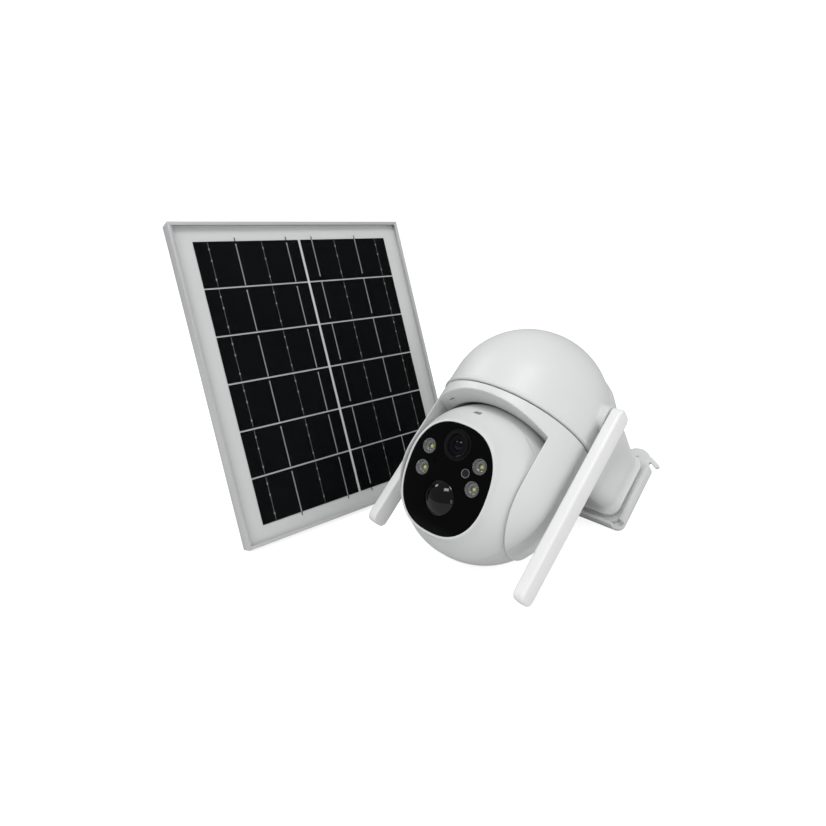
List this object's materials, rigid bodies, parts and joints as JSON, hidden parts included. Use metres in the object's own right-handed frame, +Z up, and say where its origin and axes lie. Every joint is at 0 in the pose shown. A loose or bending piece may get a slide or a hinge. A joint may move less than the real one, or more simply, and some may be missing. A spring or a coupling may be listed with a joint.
{
  "type": "security camera",
  "caption": "Solar-powered pan and tilt security camera with a domed base, two swinging antennas, a wall bracket and a separate framed solar panel on a ball-jointed stand.",
  "frame": {"origin": "on the table, under the middle of the set's box, as it stands for the picture", "axes": "+Z up; -Y towards the viewer, in front of the lens and the panel's glass; +X to the right, where the camera's wall bracket is"},
  "size_m": [0.3396, 0.2582, 0.2063],
  "materials": {
    "white_shell": "satin moulded ABS, fine spark texture",
    "seal_rubber": "soft moulded rubber",
    "steel": "zinc plated",
    "battery_wrap": "heat-shrink sleeve",
    "black_plastic": "moulded black nylon",
    "circuit_board": "solder-resist green",
    "grey_button": "soft grey silicone",
    "antenna_copper": "bare metal strip",
    "chassis_plastic": "moulded inner plate",
    "gear_plastic": "natural acetal",
    "black_window": "polished black acrylic",
    "lens_glass": "coated optical glass",
    "reflector_metal": "vacuum metallised",
    "lamp_phosphor": "yellow phosphor gel",
    "sensor_grey": "smoked light pipe",
    "frame_aluminium": "clear anodised extrusion",
    "key_aluminium": "mill-finish die casting",
    "panel_glass": "tempered low-iron glass",
    "silicon": "monocrystalline silicon",
    "white_sheet": "white laminate",
    "stand_plastic": "glass-filled nylon"
  },
  "bodies": {
    "camera_base": {"base_housing": "white_shell", "rear_gasket": "seal_rubber", "rear_cover": "white_shell", "rear_cover_screws": "steel", "battery_cells": "battery_wrap", "battery_holder": "black_plastic", "main_board": "circuit_board", "switch_board": "circuit_board", "charge_port": "steel", "antenna_pins": "steel", "base_chassis": "chassis_plastic", "pan_motor": "steel"},
    "wall_bracket": {"wall_bracket": "white_shell", "bracket_screw": "steel"},
    "port_flap": {"port_flap": "seal_rubber"},
    "power_button": {"power_button": "grey_button"},
    "reset_button": {"reset_button": "grey_button"},
    "antenna_left": {"antenna_left": "white_shell", "antenna_element_left": "antenna_copper"},
    "antenna_right": {"antenna_right": "white_shell", "antenna_element_right": "antenna_copper"},
    "pan_pinion": {"pan_pinion": "gear_plastic"},
    "yoke": {"yoke_front_shell": "white_shell", "yoke_rear_shell": "white_shell", "pan_gear": "gear_plastic", "pan_retainer": "steel", "tilt_gear": "gear_plastic", "tilt_pins": "steel"},
    "head": {"head_front_shell": "white_shell", "head_rear_shell": "white_shell", "face_window": "black_window", "lens_barrel": "black_plastic", "lens_glass": "lens_glass", "lamp_reflectors": "reflector_metal", "lamp_chips": "lamp_phosphor", "lamp_board": "circuit_board", "sensor_board": "circuit_board", "pir_lens": "black_window", "pir_sensor": "steel", "light_sensor": "sensor_grey", "speaker": "black_plastic", "card_slot": "circuit_board", "tilt_motor": "steel"},
    "tilt_pinion": {"tilt_pinion": "gear_plastic"},
    "card_door": {"card_door": "white_shell"},
    "panel": {"frame_rail_left": "frame_aluminium", "frame_rail_right": "frame_aluminium", "frame_rail_top": "frame_aluminium", "frame_rail_bottom": "frame_aluminium", "frame_corner_keys": "key_aluminium", "panel_glass": "panel_glass", "solar_cells": "silicon", "backsheet": "white_sheet", "junction_box": "black_plastic", "cable_gland": "black_plastic", "rear_crossbar": "frame_aluminium", "stand_socket": "stand_plastic"},
    "stand_collar": {"stand_collar": "stand_plastic"},
    "stand_stem": {"stand_stem": "stand_plastic"},
    "stand_foot": {"stand_foot": "stand_plastic"}
  },
  "joints": [
    {"name": "pan", "type": "hinge", "parent": "camera_base", "child": "yoke", "pos_m": [0.0362, -0.0538, 0.05], "axis": [0.5262, 0.5011, 0.6871], "range_deg": [-180, 170]},
    {"name": "pan_drive", "type": "hinge", "parent": "camera_base", "child": "pan_pinion", "pos_m": [0.07977, -0.01231, 0.0737], "axis": [0.5262, 0.5011, 0.6871], "range_deg": [-720, 730]},
    {"name": "tilt", "type": "hinge", "parent": "yoke", "child": "head", "pos_m": [0.0362, -0.0538, 0.05], "axis": [0.748, -0.6571, -0.0936], "range_deg": [-20, 66.5]},
    {"name": "tilt_drive", "type": "hinge", "parent": "head", "child": "tilt_pinion", "pos_m": [0.06986, -0.05968, 0.03972], "axis": [0.748, -0.6571, -0.0936], "range_deg": [-60, 210]},
    {"name": "card_door_off", "type": "slide", "parent": "head", "child": "card_door", "axis": [-0.3212, -0.2349, -0.9174], "range_m": [0, 0.03]},
    {"name": "antenna_left_swing", "type": "hinge", "parent": "camera_base", "child": "antenna_left", "pos_m": [0.02897, 0.02217, 0.09459], "axis": [0.6896, -0.7242, 0], "range_deg": [-180, 50]},
    {"name": "antenna_right_swing", "type": "hinge", "parent": "camera_base", "child": "antenna_right", "pos_m": [0.11173, -0.06473, 0.09459], "axis": [0.6896, -0.7242, 0], "range_deg": [-180, 50]},
    {"name": "port_flap_open", "type": "hinge", "parent": "camera_base", "child": "port_flap", "pos_m": [0.08362, 0.01069, 0.02269], "axis": [0.6896, -0.7242, 0], "range_deg": [-110, 0]},
    {"name": "power_press", "type": "slide", "parent": "camera_base", "child": "power_button", "axis": [0.5262, 0.5011, 0.6871], "range_m": [0, 0.001], "stiffness_N_per_m": 300},
    {"name": "reset_press", "type": "slide", "parent": "camera_base", "child": "reset_button", "axis": [0.5262, 0.5011, 0.6871], "range_m": [0, 0.001], "stiffness_N_per_m": 300},
    {"name": "bracket_release", "type": "slide", "parent": "camera_base", "child": "wall_bracket", "axis": [-0.5262, -0.5011, -0.6871], "range_m": [0, 0.05]},
    {"name": "panel_place", "type": "slide", "parent": "camera_base", "child": "panel", "axis": [-0.6508, 0.7593, 0], "range_m": [0, 0.15]},
    {"name": "stand_tilt", "type": "hinge", "parent": "panel", "child": "stand_stem", "pos_m": [-0.0811, 0.04876, 0.07554], "axis": [0.7593, 0.6508, 0], "range_deg": [-8, 50]},
    {"name": "stand_turn", "type": "hinge", "parent": "stand_stem", "child": "stand_foot", "pos_m": [-0.0811, 0.04876, 0.07554], "axis": [0, 0, 1], "continuous": true},
    {"name": "collar_turn", "type": "hinge", "parent": "panel", "child": "stand_collar", "pos_m": [-0.0811, 0.04876, 0.07554], "axis": [0.2657, -0.31, 0.9128], "range_deg": [0, 180]}
  ],
  "couplings": [
    {"joint": "pan_drive", "follows": "pan", "ratio": -4},
    {"joint": "tilt_drive", "follows": "tilt", "ratio": 3}
  ]
}
